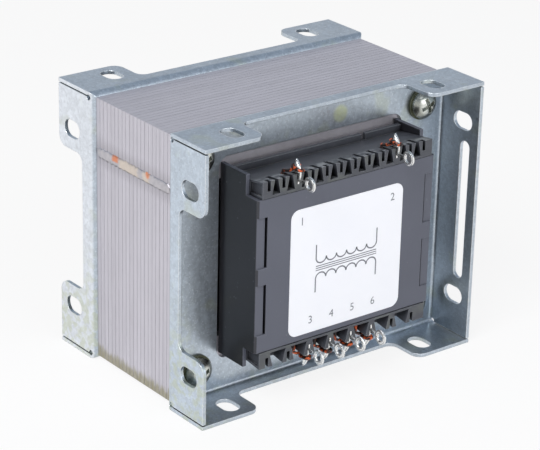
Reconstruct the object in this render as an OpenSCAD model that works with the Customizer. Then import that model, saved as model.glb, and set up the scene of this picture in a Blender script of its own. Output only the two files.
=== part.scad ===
// Laminated mains transformer in two folded end frames.
// X runs through the lamination stack, with the terminal side at +X. Y runs across, Z up.
// The origin is on the mounting plane, midway between the two frames. Millimetres.

/* [Core] */
// Width of the laminations, across the three limbs
core_w = 105; // [102:0.5:114]
// Height of the laminations, with the I bars on top
core_h = 87.5; // [86:0.5:100]
// Thickness of the lamination stack
core_t = 40; // [30:1:60]
// Width of the centre limb, which the bobbin slides over
centre_limb_w = 35; // [33:0.5:36]
// Width of each outer limb
side_limb_w = 17.5; // [16:0.25:18]
// Height of the yoke below and of the I bars above the windows
yoke_h = 17.5; // [16:0.25:18]
// Thickness of one packet of laminations
packet_t = 2; // [1.5:0.5:5]
// Width of the seam between two packets
seam_w = 0.15; // [0.1:0.05:0.4]
// Depth of the seam between two packets
seam_depth = 0.1; // [0.05:0.05:0.4]
// Distance from the lamination edges to the clamping holes
bolt_inset = 8.75; // [7.5:0.25:10]

/* [Welds] */
// Height of the weld bead over the E and I joint
weld_h = 4; // [2:0.25:6]
// How far the weld bead stands out from the laminations
weld_out = 0.7; // [0.3:0.1:1.2]
// Distance from each end of the stack to the end of the bead
weld_end = 0.5; // [0.2:0.1:4]

/* [End frames] */
// How far the frames stand past the laminations all round
frame_edge = 1.5; // [1:0.25:4]
// Thickness of the frame sheet
sheet_t = 1.2; // [0.8:0.1:2]
// Outer radius of the folds
bend_r = 2.2; // [2.1:0.1:3]
// Reach of the ears from the face of the stack
ear_reach = 19; // [18:0.5:26]
// Length of each ear along its edge
ear_len = 22; // [20:0.5:24]
// Reach of the low flange between the ears, from the face of the stack
low_reach = 6; // [4:0.25:8]
// Radius of the hollow corner between an ear and the low flange
notch_r = 3; // [1:0.25:4]
// Radius of the ear tips
tip_r = 3.5; // [1:0.25:5]
// Width of the slit between neighbouring flanges at each corner
corner_slit = 0.5; // [0.3:0.1:1]
// Radius of the relief hole at the root of each slit
relief_r = 0.9; // [0.6:0.1:1.2]
// Space between the coil cover and the sheet window at each side
window_side_gap = 1.25; // [0.5:0.05:1.8]
// Space between the coil cover and the sheet window above and below
window_end_gap = 1.9; // [0.5:0.1:2.2]
// Corner radius of the sheet window
window_r = 3.5; // [1:0.25:6]

/* [Mounting slots] */
// Width of the mounting slots
slot_w = 5.8; // [4:0.1:7]
// Length of the mounting slots
slot_l = 8.6; // [7.5:0.1:10]
// Distance from the face of the stack to the slot centres
slot_out = 11.5; // [10:0.25:13]
// Distance from the frame corner to the slot centres
slot_inset = 15; // [12:0.25:16]
// Width of the long slot in the tall flange
long_slot_w = 4.3; // [3:0.1:6]
// Sheet left between the long slot and the mounting slots at its ends
long_slot_web = 3.55; // [2.5:0.05:12]
// Distance from the face of the stack to the middle of the long slot
long_slot_out = 13.1; // [9:0.1:14]

/* [Clamping screws] */
// Diameter of the screw shank
bolt_d = 4.9; // [4:0.1:5.3]
// Space around the shank in the core and the sheets
bolt_gap = 0.3; // [0.1:0.05:0.5]
// Diameter of the pan head
head_d = 9.5; // [8:0.1:10.5]
// Height of the pan head
head_h = 3.3; // [2.5:0.1:4]
// Height of the upright rim below the dome of the head
rim_h = 1.1; // [0.6:0.1:1.6]
// Angle that the cross recesses are turned to
recess_turn = 20; // [0:5:85]
// Width of the arms of the cross recess
recess_w = 1.3; // [0.8:0.1:1.8]
// Length of the cross recess, tip to tip
recess_l = 5.2; // [3:0.1:6]
// Depth of the cross recess
recess_depth = 1.9; // [1:0.1:2.2]
// Diameter of the washers
washer_d = 10.6; // [9:0.1:12]
// Thickness of the washers
washer_t = 0.9; // [0.6:0.1:1.5]
// Width of the hexagon nuts across their flats
nut_w = 8; // [7.5:0.1:10]
// Height of the hexagon nuts
nut_h = 4; // [3:0.1:5]
// Length of the screw past the nut
bolt_end = 1.6; // [0.5:0.1:4]

/* [Bobbin] */
// Space between the bobbin and the centre limb
limb_gap = 0.3; // [0.1:0.05:0.6]
// Wall of the bobbin tube
tube_t = 1.2; // [0.8:0.1:2]
// Thickness of the bobbin cheeks
cheek_t = 1.3; // [0.8:0.1:2]
// Space between the cheeks and the yokes, and between the cheeks and the outer limbs
cheek_gap = 0.3; // [0.1:0.05:0.6]
// How much the terminal shelves are narrower than the two windows, at each side
shelf_inset = 1.9; // [1.7:0.1:3]
// How far the terminal shelves stand past the cover fronts
shelf_out = 0.2; // [0.1:0.05:2]
// Height of the shelf over the inside of the cheek, at its root
shelf_root_h = 4; // [3:0.1:4.4]
// Height of the shelf over the inside of the cheek, at its front
shelf_front_h = 6; // [5:0.1:6.6]
// Distance from the face of the stack to the rib behind the shelf
rib_out = 2.6; // [1.6:0.1:4]
// Thickness of the rib
rib_t = 1.5; // [0.8:0.1:2]
// Height of the rib over the inside of the cheek
rib_h = 6.2; // [5:0.1:6.9]
// Distance from the middle of the bobbin to the notch in the rib
rib_notch_y = 17.8; // [5:0.1:25]
// Width of the notch in the rib
rib_notch_w = 1.8; // [1:0.1:4]
// Depth of the pocket in each end of the shelves
pocket_depth = 0.9; // [0.2:0.1:1.4]
// Length of the pocket in each end of the shelves
pocket_l = 5.6; // [3:0.1:7]
// Plastic left round the pocket
pocket_rim = 0.6; // [0.5:0.1:1.2]
// Depth of the rebate that the cover's edge sits in
rebate_h = 0.6; // [0.3:0.05:1]

/* [Terminal teeth] */
// Number of teeth on the upper shelf
upper_teeth = 12; // [6:1:12]
// Pitch of the upper teeth
upper_pitch = 5.5; // [5.2:0.05:5.6]
// Distance from the middle of the bobbin to the middle of the upper row
upper_row_y = -0.5; // [-1.5:0.1:1.5]
// Width of the gap between two upper teeth at its mouth
upper_mouth = 1.3; // [0.8:0.1:1.8]
// Width of the gap between two upper teeth at its floor
upper_floor = 3.1; // [2:0.1:3.4]
// Number of teeth on the lower shelf
lower_teeth = 8; // [4:1:8]
// Pitch of the lower teeth
lower_pitch = 8.3; // [8:0.05:8.6]
// Distance from the middle of the bobbin to the middle of the lower row
lower_row_y = -1.1; // [-1.5:0.1:1.5]
// Width of the gap between two lower teeth at its mouth
lower_mouth = 3.9; // [2.5:0.1:4.4]
// Width of the gap between two lower teeth at its floor
lower_floor = 6.3; // [5:0.1:6.6]
// Depth of the gaps, from the front of the shelf
gap_depth = 4.9; // [3:0.1:6]
// Thickness of plastic left under the gaps
gap_floor = 0.7; // [0.5:0.1:0.9]
// Width of the key slot in each tooth
key_w = 1.2; // [0.7:0.1:1.4]
// Height of the key slot in each tooth
key_h = 3.3; // [2:0.1:4]
// Depth of the key slot in each tooth
key_depth = 2; // [0.8:0.1:3]

/* [Solder tags] */
// Thickness of the tag sheet
tag_t = 0.6; // [0.4:0.05:0.6]
// Length of the tag's foot, back from the front of the shelf
foot_l = 3.2; // [2.4:0.1:4]
// Height of the tag's foot over the floor of the key slot
foot_h = 1.7; // [1.2:0.1:2.4]
// Diameter of the eyelet
eyelet_d = 4.8; // [3.6:0.1:5]
// Diameter of the hole in the eyelet
eyelet_hole_d = 2.5; // [1.4:0.1:2.8]
// Distance from the front of the shelf to the middle of the upper eyelets
upper_eyelet_out = 5.4; // [2.4:0.1:6.5]
// Distance from the front of the shelf to the middle of the lower eyelets
lower_eyelet_out = 4.6; // [2.4:0.1:6.5]
// Height of the upper eyelet's middle over the floor of the key slot
upper_eyelet_rise = 1.5; // [1:0.1:3]
// Height of the lower eyelet's middle over the floor of the key slot
lower_eyelet_rise = 2.6; // [1:0.1:3]
// Width of the wire prong
prong_w = 2.7; // [2:0.1:3]
// Lean of the wire prongs, back from upright
prong_lean = 12; // [0:1:20]
// Height of the upper prongs over the front of the shelf
upper_prong_h = 4.4; // [3.4:0.1:7]
// Height of the lower prongs over the front of the shelf
lower_prong_h = 5.1; // [3.4:0.1:7]
// Distance from the front of the shelf back to the middle of the upper prongs
upper_prong_back = 0.3; // [0.2:0.05:2]
// Distance from the front of the shelf back to the middle of the lower prongs
lower_prong_back = 1.7; // [0.2:0.05:2]
// Number of tooth pitches from the middle to the upper tags
upper_tag_step = 3.5; // [1.5:1:4.5]

/* [Coil] */
// Part of the room for wire that the primary winding takes
primary_share = 0.49; // [0.3:0.01:0.6]
// Thickness of the insulation between the windings
insulation_t = 0.4; // [0.2:0.1:0.6]
// Space between the finished coil and the outer limbs
coil_side_gap = 2.2; // [1.6:0.1:5]
// Thickness of the outer wrap
wrap_t = 0.4; // [0.2:0.1:0.6]
// Corner radius of the first turn
turn_r = 1; // [0.6:0.1:2]
// Space between the coil and the cheeks
coil_end_gap = 0.15; // [0.05:0.05:0.5]
// Diameter of the winding leads
lead_d = 1; // [0.7:0.05:1.1]
// Turns of each lead round its prong
lead_turns = 1.25; // [0.75:0.25:2.25]
// Space between the lead and the prong it is wound on
lead_gap = 0.15; // [0.1:0.05:0.3]

/* [Coil covers] */
// Thickness of the cover sides and front
cover_t = 1.3; // [0.8:0.1:1.6]
// Space between the finished coil and the inside of the cover front
cover_coil_gap = 2.4; // [1:0.1:4]
// Space between the cover and the bobbin
cover_gap = 0.25; // [0.1:0.05:0.4]
// Distance from the face of the stack to the back of the cover sides
cover_back = 0.4; // [0.2:0.1:1]
// Height of the cover sides over the inside of the cheek
side_over = 6.95; // [6:0.05:7.2]
// Distance from the cover front back to the high part of its sides
side_step = 6; // [3:0.25:9]
// Size of the bevel on the cover's upright edges
cover_bevel = 0.6; // [0.2:0.1:1]
// Height of each notch in the cover's upright edges
notch_h = 16.5; // [10:0.5:18]
// Distance between the middles of the upper and lower notches
notch_pitch = 22; // [19:0.5:24]
// Width of the open slit at the inner side of each notch
notch_w = 0.65; // [0.4:0.05:2]
// Width of the set-back corner in each notch, from the cover side to the slit
notch_corner_w = 3.1; // [2:0.1:5]
// How far the corner is set back in each notch
notch_back = 0.5; // [0.2:0.1:0.7]

/* [Label] */
// Width of the label
label_w = 44; // [30:0.5:60]
// Space between the label and the top edge of the cover front
label_top_gap = 6.2; // [0:0.1:12]
// Space between the label and the bottom edge of the cover front
label_bottom_gap = 1.8; // [0:0.1:12]
// Thickness of the label
label_t = 0.15; // [0.1:0.05:0.3]
// Corner radius of the label
label_r = 3; // [1:0.25:6]

/* [Hidden] */
$fn = 48;
over = 1; // how far a cutting shape runs past the face that it cuts

// Overall places
stack_x = core_t / 2;
frame_w = core_w + 2 * frame_edge;
frame_h = core_h + 2 * frame_edge;
mid_z = frame_h / 2;
sheet_x = stack_x + sheet_t;
joint_z = frame_edge + core_h - yoke_h;
window_h = core_h - 2 * yoke_h;
coil_span = core_w - 2 * side_limb_w;
bolt_y = core_w / 2 - bolt_inset;
bolt_dz = core_h / 2 - bolt_inset;
long_slot_l = frame_h - 2 * slot_inset - slot_w - 2 * long_slot_web;

// Bobbin heights, measured up from its middle
cheek_out = window_h / 2 - cheek_gap;
cheek_in = cheek_out - cheek_t;
shelf_w = coil_span - 2 * shelf_inset;
shelf_top = cheek_in + shelf_front_h;
rib_x = stack_x + rib_out;
tube_x = stack_x + limb_gap + tube_t;
tube_y = centre_limb_w / 2 + limb_gap + tube_t;
key_bottom = shelf_top - key_h;

// Coil builds, measured out from the bobbin tube
coil_build = coil_span / 2 - coil_side_gap - tube_y;
insulation_at = primary_share * (coil_build - insulation_t - wrap_t);
secondary_at = insulation_at + insulation_t;
wrap_at = coil_build - wrap_t;

// Covers
cover_x = tube_x + coil_build + cover_coil_gap + cover_t;
shelf_x = cover_x + shelf_out;
cover_y = shelf_w / 2 + cover_gap + cover_t;
side_top = cheek_in + side_over;
panel_top = cheek_in + rebate_h - cover_gap;
label_h = 2 * panel_top - label_top_gap - label_bottom_gap;
label_drop = (label_top_gap - label_bottom_gap) / 2;

// Tags
upper_tag_y = [for (s = [-1, 1]) upper_row_y + s * upper_tag_step * upper_pitch];
lower_tag_y = [for (i = [-1.5 : 1 : 1.5]) lower_row_y + i * lower_pitch];

// ---- shared shapes ----

// Flat rectangle with rounded corners, centred
module rounded_rect(w, h, r) {
    square([w - 2 * r, h], center = true);
    square([w, h - 2 * r], center = true);
    for (u = [-1, 1], v = [-1, 1]) translate([u * (w / 2 - r), v * (h / 2 - r)]) circle(r);
}

// Turns a flat (y, z) shape to face +X, from x0 to x1
module slab(x0, x1) {
    translate([x0, 0, 0]) rotate([90, 0, 90]) linear_extrude(x1 - x0) children();
}

// Turns a flat (x, z) shape into a bar across Y, w wide and centred
module across(w) {
    translate([0, w / 2, 0]) rotate([90, 0, 0]) linear_extrude(w) children();
}

// Mirrors its children from the front to the rear as well
module both_ends() {
    for (s = [0, 1]) mirror([s, 0, 0]) children();
}

// A straight slot along X, cut through along Z
module slot_cut(l, w, h) {
    for (s = [-1, 1]) translate([s * (l - w) / 2, 0, -h / 2]) cylinder(d = w, h = h);
    translate([-(l - w) / 2, -w / 2, -h / 2]) cube([l - w, w, h]);
}

// Puts its children at the four clamping screws
module at_bolts() {
    for (sy = [-1, 1], sz = [-1, 1]) translate([0, sy * bolt_y, mid_z + sz * bolt_dz]) children();
}

// A rod along X from x0 to x1
module rod(d, x0, x1) {
    translate([x0, 0, 0]) rotate([0, 90, 0]) cylinder(d = d, h = x1 - x0);
}

function unit(v) = v / norm(v);

// Direction of a path at each of its points
function headings(p) = [for (i = [0 : len(p) - 1]) unit(p[min(i + 1, len(p) - 1)] - p[max(i - 1, 0)])];

// Sideways vectors carried along a path without twist
function carried(t, side, i = 0) =
    i == len(t) ? [] : let (n = unit(side - (side * t[i]) * t[i])) concat([n], carried(t, n, i + 1));

// A round wire swept along a list of points
module wire(points, d) {
    sides = 8;
    t = headings(points);
    n = carried(t, [0, 1, 0.1]);
    last = len(points) - 1;
    rings = [for (i = [0 : last], k = [0 : sides - 1]) let (a = 360 * k / sides)
        points[i] + d / 2 * (cos(a) * n[i] + sin(a) * cross(t[i], n[i]))];
    walls = [for (i = [0 : last - 1], k = [0 : sides - 1]) let (m = (k + 1) % sides)
        [i * sides + k, (i + 1) * sides + k, (i + 1) * sides + m, i * sides + m]];
    ends = [[for (k = [0 : sides - 1]) k], [for (k = [sides - 1 : -1 : 0]) last * sides + k]];
    polyhedron(rings, concat(walls, ends), convexity = 4);
}

// ---- core ----

// The seams between packets, round the outside of the whole stack
module packet_seams() {
    count = floor(core_t / packet_t);
    first = -(count - 2) * packet_t / 2;
    for (i = [0 : count - 2]) {
        x = first + i * packet_t;
        slab(x - seam_w / 2, x + seam_w / 2) translate([0, mid_z]) difference() {
            square([core_w + 2 * over, core_h + 2 * over], center = true);
            square([core_w - 2 * seam_depth, core_h - 2 * seam_depth], center = true);
        }
    }
}

module bolt_holes(x) {
    at_bolts() rod(bolt_d + 2 * bolt_gap, -x, x);
}

module e_core() {
    color("#a9a8ad") difference() {
        slab(-stack_x, stack_x) difference() {
            translate([-core_w / 2, frame_edge]) square([core_w, joint_z - frame_edge]);
            for (s = [-1, 1]) {
                middle = s * (centre_limb_w + coil_span) / 4;
                width = (coil_span - centre_limb_w) / 2;
                translate([middle - width / 2, joint_z - window_h]) square([width, window_h + over]);
            }
        }
        packet_seams();
        bolt_holes(stack_x + over);
    }
}

module i_core() {
    color("#b2b1b6") difference() {
        slab(-stack_x, stack_x) translate([-core_w / 2, joint_z]) square([core_w, yoke_h]);
        packet_seams();
        bolt_holes(stack_x + over);
    }
}

// Low bead of round section, lying over the E and I joint on one side
module weld(side) {
    r = (weld_h * weld_h / 4 + weld_out * weld_out) / (2 * weld_out);
    length = core_t - 2 * weld_end;
    color("#8f7464") intersection() {
        translate([0, side * (core_w / 2 + weld_out - r), joint_z]) rod(2 * r, -length / 2, length / 2);
        translate([-length / 2, side > 0 ? core_w / 2 : -core_w / 2 - weld_out, joint_z - weld_h])
            cube([length, weld_out, 2 * weld_h]);
    }
}
module left_weld() weld(-1);
module right_weld() weld(1);

// ---- end frames ----

// Edge-on profile of a folded tray: depth along x, rounded at the two back corners
module fold_profile(depth, w, r) {
    translate([r, -w / 2]) square([depth - r, w]);
    translate([0, -w / 2 + r]) square([depth, w - 2 * r]);
    for (s = [-1, 1]) translate([r, s * (w / 2 - r)]) circle(r);
}

// Solid tray with all four back edges rounded, its back at x = 0
module tray(depth, w, h, r) {
    intersection() {
        translate([0, 0, -h / 2]) linear_extrude(h) fold_profile(depth, w, r);
        translate([0, w / 2, 0]) rotate([90, 0, 0]) linear_extrude(w) fold_profile(depth, h, r);
    }
}

// Notch between two ears: along the edge in y, outward in x, centred on the edge
module ear_notch(edge) {
    half = edge / 2 - ear_len;
    past = ear_reach + over;
    translate([low_reach + notch_r, -half]) square([past - low_reach - notch_r, 2 * half]);
    translate([low_reach, -half + notch_r]) square([past - low_reach, 2 * (half - notch_r)]);
    for (s = [-1, 1]) {
        translate([low_reach + notch_r, s * (half - notch_r)]) circle(notch_r);
        difference() {
            translate([ear_reach - tip_r, s > 0 ? half - over : -half - tip_r])
                square([tip_r + over, tip_r + over]);
            translate([ear_reach - tip_r, s * (half + tip_r)]) circle(tip_r);
        }
    }
}

// Cuts for one flange lying in the plane z = 0: a notch if it has ears, and two mounting slots
module flange_cuts(edge, eared) {
    if (eared) translate([0, 0, -bend_r]) linear_extrude(2 * bend_r) ear_notch(edge);
    for (s = [-1, 1]) translate([slot_out, s * (edge / 2 - slot_inset), 0])
        slot_cut(slot_l, slot_w, 2 * bend_r);
}

// Parts a side flange from the upper flange at their corner: a slit with a relief hole at its root
module corner_cut() {
    translate([bend_r, -sheet_t - over / 2, -sheet_t - corner_slit])
        cube([ear_reach + over - bend_r, sheet_t + over, corner_slit]);
    translate([bend_r, -sheet_t - over / 2, -sheet_t - relief_r + corner_slit / 2])
        rotate([-90, 0, 0]) cylinder(r = relief_r, h = sheet_t + over);
}

module end_frame() {
    translate([stack_x, 0, mid_z]) difference() {
        tray(ear_reach, frame_w, frame_h, bend_r);
        translate([sheet_t, 0, 0])
            tray(ear_reach, frame_w - 2 * sheet_t, frame_h - 2 * sheet_t, bend_r - sheet_t);
        // window for the coil
        slab(-over, sheet_t + over)
            rounded_rect(2 * (cover_y + window_side_gap), 2 * (side_top + window_end_gap), window_r);
        // clamping holes
        for (sy = [-1, 1], sz = [-1, 1]) translate([0, sy * bolt_y, sz * bolt_dz])
            rod(bolt_d + 2 * bolt_gap, -over, sheet_t + over);
        // top and bottom flanges
        for (s = [-1, 1]) translate([0, 0, s * frame_h / 2]) flange_cuts(frame_w, true);
        // left flange, eared, and right flange, full height with the long slot
        translate([0, -frame_w / 2, 0]) rotate([90, 0, 0]) flange_cuts(frame_h, true);
        translate([0, frame_w / 2, 0]) rotate([90, 0, 0]) {
            flange_cuts(frame_h, false);
            translate([long_slot_out, 0, 0]) rotate([0, 0, 90])
                slot_cut(long_slot_l, long_slot_w, 2 * bend_r);
        }
        for (sy = [0, 1], sz = [0, 1]) mirror([0, sy, 0]) mirror([0, 0, sz])
            translate([0, frame_w / 2, frame_h / 2]) corner_cut();
    }
}
module front_frame() color("#c3c9cb") end_frame();
module rear_frame() color("#c3c9cb") mirror([1, 0, 0]) end_frame();

// ---- clamping screws, lying along X ----

// Pan head, its seat at z = 0: an upright rim under a dome, with a cross recess
module pan_head() {
    dome_h = head_h - rim_h;
    dome_r = (head_d * head_d / 4 + dome_h * dome_h) / (2 * dome_h);
    difference() {
        intersection() {
            cylinder(d = head_d, h = head_h);
            translate([0, 0, head_h - dome_r]) sphere(dome_r, $fn = 96);
        }
        for (a = [0, 90]) rotate([0, 0, a + recess_turn])
            translate([-recess_l / 2, -recess_w / 2, head_h - recess_depth])
                cube([recess_l, recess_w, recess_depth + over]);
    }
}

module clamp_screws() {
    seat_x = sheet_x + washer_t;
    color("#c9ccc4") at_bolts() {
        rod(bolt_d, -seat_x - nut_h - bolt_end, seat_x + rim_h);
        translate([seat_x, 0, 0]) rotate([0, 90, 0]) pan_head();
    }
}

module washers(x) {
    color("#5c5f52") at_bolts() difference() {
        rod(washer_d, x, x + washer_t);
        rod(bolt_d + 2 * bolt_gap, x - over, x + washer_t + over);
    }
}
module front_washers() washers(sheet_x);
module rear_washers() washers(-sheet_x - washer_t);

module clamp_nuts() {
    x = -sheet_x - washer_t - nut_h;
    color("#b9bdb6") at_bolts() difference() {
        translate([x, 0, 0]) rotate([0, 90, 0]) cylinder(d = nut_w / cos(30), h = nut_h, $fn = 6);
        rod(bolt_d, x - over, x + nut_h + over);
    }
}

// ---- bobbin ----

// Profile of one terminal shelf in (x, height), over the inside of the cheek
module shelf_profile() {
    root = cheek_in + shelf_root_h;
    polygon([
        [rib_x, cheek_in], [rib_x, cheek_in + rib_h], [rib_x + rib_t, cheek_in + rib_h],
        [rib_x + rib_t, root], [shelf_x, shelf_top], [shelf_x, cheek_in + rebate_h],
        [cover_x - cover_t - cover_gap, cheek_in + rebate_h], [cover_x - cover_t - cover_gap, cheek_in]
    ]);
}

// Profile of the pocket in each end of a shelf
module pocket_profile() {
    front = shelf_x - pocket_rim;
    slope = (shelf_front_h - shelf_root_h) / (shelf_x - rib_x - rib_t);
    low = cheek_in + rebate_h + pocket_rim;
    high = shelf_top - pocket_rim * (1 + slope);
    back = front - pocket_l;
    polygon([[back, low], [front, low], [front, high], [back, high - slope * pocket_l]]);
}

// Gaps and key slots that leave a row of teeth along one shelf, its middle at row_y
module teeth_cuts(row_y, count, pitch, mouth, floor_w) {
    floor_dz = cheek_in + rebate_h + gap_floor;
    top = shelf_top + over;
    spread = (mouth - floor_w) * (top - floor_dz) / (shelf_top - floor_dz) + floor_w;
    slab(shelf_x - gap_depth, shelf_x + over) for (i = [1 : count - 1])
        translate([row_y + (i - count / 2) * pitch, 0]) polygon([
            [-floor_w / 2, floor_dz], [floor_w / 2, floor_dz], [spread / 2, top], [-spread / 2, top]
        ]);
    slab(shelf_x - key_depth, shelf_x + over) for (i = [0 : count - 1])
        translate([row_y + (i - (count - 1) / 2) * pitch - key_w / 2, key_bottom])
            square([key_w, top - key_bottom]);
}

// Deep key slots for the tags, at the given places across
module tag_cuts(places) {
    slab(shelf_x - foot_l, shelf_x) for (y = places)
        translate([y - key_w / 2, key_bottom]) square([key_w, key_h + over]);
}

// One cheek above the coil, in the core windows and out to both shelves
module cheek(row_y, count, pitch, mouth, floor_w, tag_places) {
    difference() {
        union() {
            translate([-stack_x, -coil_span / 2 + cheek_gap, cheek_in])
                cube([core_t, coil_span - 2 * cheek_gap, cheek_t]);
            translate([-rib_x - rib_t, -shelf_w / 2, cheek_in]) cube([2 * (rib_x + rib_t), shelf_w, cheek_t]);
            both_ends() across(shelf_w) shelf_profile();
        }
        both_ends() {
            teeth_cuts(row_y, count, pitch, mouth, floor_w);
            translate([rib_x - over, rib_notch_y - rib_notch_w / 2, cheek_in + shelf_root_h])
                cube([rib_t + 2 * over, rib_notch_w, rib_h]);
            for (s = [0, 1]) mirror([0, s, 0]) translate([0, shelf_w / 2 + (over - pocket_depth) / 2, 0])
                across(pocket_depth + over) pocket_profile();
        }
        tag_cuts(tag_places);
        translate([-tube_x + tube_t, -tube_y + tube_t, cheek_in - over])
            cube([2 * (tube_x - tube_t), 2 * (tube_y - tube_t), cheek_t + 2 * over]);
    }
}

module bobbin() {
    color("#3c3d45") translate([0, 0, mid_z]) {
        difference() {
            translate([-tube_x, -tube_y, -cheek_out]) cube([2 * tube_x, 2 * tube_y, 2 * cheek_out]);
            translate([-tube_x + tube_t, -tube_y + tube_t, -cheek_out - over])
                cube([2 * (tube_x - tube_t), 2 * (tube_y - tube_t), 2 * (cheek_out + over)]);
        }
        cheek(upper_row_y, upper_teeth, upper_pitch, upper_mouth, upper_floor, upper_tag_y);
        mirror([0, 0, 1])
            cheek(lower_row_y, lower_teeth, lower_pitch, lower_mouth, lower_floor, lower_tag_y);
    }
}

// ---- coil ----

// One layer of the coil, from one build thickness out to another
module coil_layer(inner, outer) {
    height = 2 * (cheek_in - coil_end_gap);
    translate([0, 0, mid_z - height / 2]) linear_extrude(height) difference() {
        rounded_rect(2 * (tube_x + outer), 2 * (tube_y + outer), turn_r + outer);
        if (inner == 0) square([2 * tube_x, 2 * tube_y], center = true);
        else rounded_rect(2 * (tube_x + inner), 2 * (tube_y + inner), turn_r + inner);
    }
}
module primary_winding() color("#a8502c") coil_layer(0, insulation_at);
module winding_insulation() color("#d8c98a") coil_layer(insulation_at, secondary_at);
module secondary_winding() color("#b05a30") coil_layer(secondary_at, wrap_at);
module outer_wrap() color("#2b2a2c") coil_layer(wrap_at, wrap_at + wrap_t);

// ---- covers ----

// U section of a cover seen from above, open towards the core
module cover_section() {
    back = stack_x + cover_back;
    difference() {
        translate([back, -cover_y]) square([cover_x - back, 2 * cover_y]);
        translate([back - over, -cover_y + cover_t])
            square([cover_x - cover_t - back + over, 2 * (cover_y - cover_t)]);
        for (s = [-1, 1]) translate([cover_x, s * cover_y]) rotate(45)
            square(cover_bevel * sqrt(2), center = true);
    }
}

module cover() {
    translate([0, 0, mid_z]) difference() {
        translate([0, 0, -side_top]) linear_extrude(2 * side_top) cover_section();
        // the front and the front part of the sides end between the shelves
        for (s = [0, 1]) mirror([0, 0, s])
            translate([cover_x - side_step, -cover_y - over, panel_top])
                cube([side_step + over, 2 * (cover_y + over), side_top]);
        // notches in the upright edges: an open slit, with the corner beside it set back
        for (s = [0, 1], v = [-1, 1]) mirror([0, s, 0])
            translate([cover_x, cover_y - notch_corner_w, v * notch_pitch / 2 - notch_h / 2]) {
                translate([-cover_t - over, -notch_w, 0]) cube([cover_t + 2 * over, notch_w, notch_h]);
                translate([-notch_back, -notch_w / 2, 0])
                    cube([notch_back + over, notch_w / 2 + notch_corner_w + over, notch_h]);
            }
    }
}
module front_cover() color("#5b5c66") cover();
module rear_cover() color("#5b5c66") mirror([1, 0, 0]) cover();

module label() {
    color("#f4f4f6") translate([0, 0, mid_z - label_drop])
        slab(cover_x, cover_x + label_t) rounded_rect(label_w, label_h, label_r);
}

// ---- solder tags and leads ----

// Leaf-shaped prong, where two circles overlap
module leaf(half_h) {
    r = (prong_w * prong_w / 4 + half_h * half_h) / prong_w;
    intersection_for (side = [-1, 1]) translate([side * (r - prong_w / 2), 0]) circle(r, $fn = 96);
}

// Place of a prong's middle, at a height over the front of the shelf
function prong_x(back, h) = shelf_x - back - h * tan(prong_lean);

// Outline of a tag in (x, height): foot in the key slot, prong above, eyelet in front
module tag_outline(eyelet_out, eyelet_rise, prong_back, prong_h) {
    neck = foot_h / 2;
    ring_side = (eyelet_d + eyelet_hole_d) / 4;
    translate([shelf_x - foot_l + tag_t, key_bottom]) square([foot_l - tag_t, foot_h]);
    translate([shelf_x, key_bottom]) {
        polygon([
            [-neck, foot_h - neck], [-neck, foot_h],
            [eyelet_out - ring_side, eyelet_rise + neck / 2], [eyelet_out - ring_side, eyelet_rise - neck / 2]
        ]);
        translate([eyelet_out, eyelet_rise]) difference() {
            circle(d = eyelet_d);
            circle(d = eyelet_hole_d);
        }
    }
    half_h = (prong_h + key_h - neck) / 2 / cos(prong_lean);
    translate([prong_x(prong_back, prong_h), shelf_top + prong_h]) rotate(prong_lean)
        translate([0, -half_h]) leaf(half_h);
}

// Puts a child drawn for the upper shelf beside the tooth at y, on the upper or the lower shelf
module at_tooth(y, up) {
    translate([0, y, mid_z]) mirror([0, 0, up ? 0 : 1]) children();
}

module upper_tag(i) color("#b9b6ae") at_tooth(upper_tag_y[i], true)
    across(tag_t) tag_outline(upper_eyelet_out, upper_eyelet_rise, upper_prong_back, upper_prong_h);
module lower_tag(i) color("#b9b6ae") at_tooth(lower_tag_y[i], false)
    across(tag_t) tag_outline(lower_eyelet_out, lower_eyelet_rise, lower_prong_back, lower_prong_h);
module upper_tag_1() upper_tag(0);
module upper_tag_2() upper_tag(1);
module lower_tag_1() lower_tag(0);
module lower_tag_2() lower_tag(1);
module lower_tag_3() lower_tag(2);
module lower_tag_4() lower_tag(3);

// Pushes a sine or cosine outwards, so that a loop hugs a flat strip
function squared(v) = sign(v) * pow(abs(v), 0.6);

// A lead comes up the gap beside the tooth, bends over the shelf and is wound round the prong
module lead(pitch, mouth, prong_back) {
    steps = 12;
    half = lead_d / 2;
    reach_x = prong_w / 2 + half + lead_gap;
    reach_y = tag_t / 2 + half + lead_gap;
    from_y = -(pitch - mouth) / 2 - half - lead_gap;
    from_x = shelf_x - gap_depth + half + lead_gap;
    from_z = cheek_in + rebate_h + gap_floor + half;
    over_z = shelf_top + half + lead_gap / 2;
    turn_z = over_z + half / 2;
    rise = [[from_x, from_y, from_z], [from_x, from_y, over_z - lead_d]];
    bend = [
        [from_x - half / 5, from_y + half / 5, over_z - half / 2],
        [prong_x(prong_back, half) - reach_x, (from_y - reach_y) / 2, over_z + half / 4]
    ];
    coil = [for (i = [0 : lead_turns * steps])
        let (a = 180 - 360 * i / steps, z = turn_z + (lead_d + lead_gap) * i / steps)
            [prong_x(prong_back, z - shelf_top) + reach_x * squared(cos(a)), reach_y * squared(sin(a)), z]];
    wire(concat(rise, bend, coil), lead_d);
}

module upper_lead(i) color("#a4532f") at_tooth(upper_tag_y[i], true)
    lead(upper_pitch, upper_mouth, upper_prong_back);
module lower_lead(i) color("#a4532f") at_tooth(lower_tag_y[i], false)
    lead(lower_pitch, lower_mouth, lower_prong_back);
module upper_lead_1() upper_lead(0);
module upper_lead_2() upper_lead(1);
module lower_lead_1() lower_lead(0);
module lower_lead_2() lower_lead(1);
module lower_lead_3() lower_lead(2);
module lower_lead_4() lower_lead(3);

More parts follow.
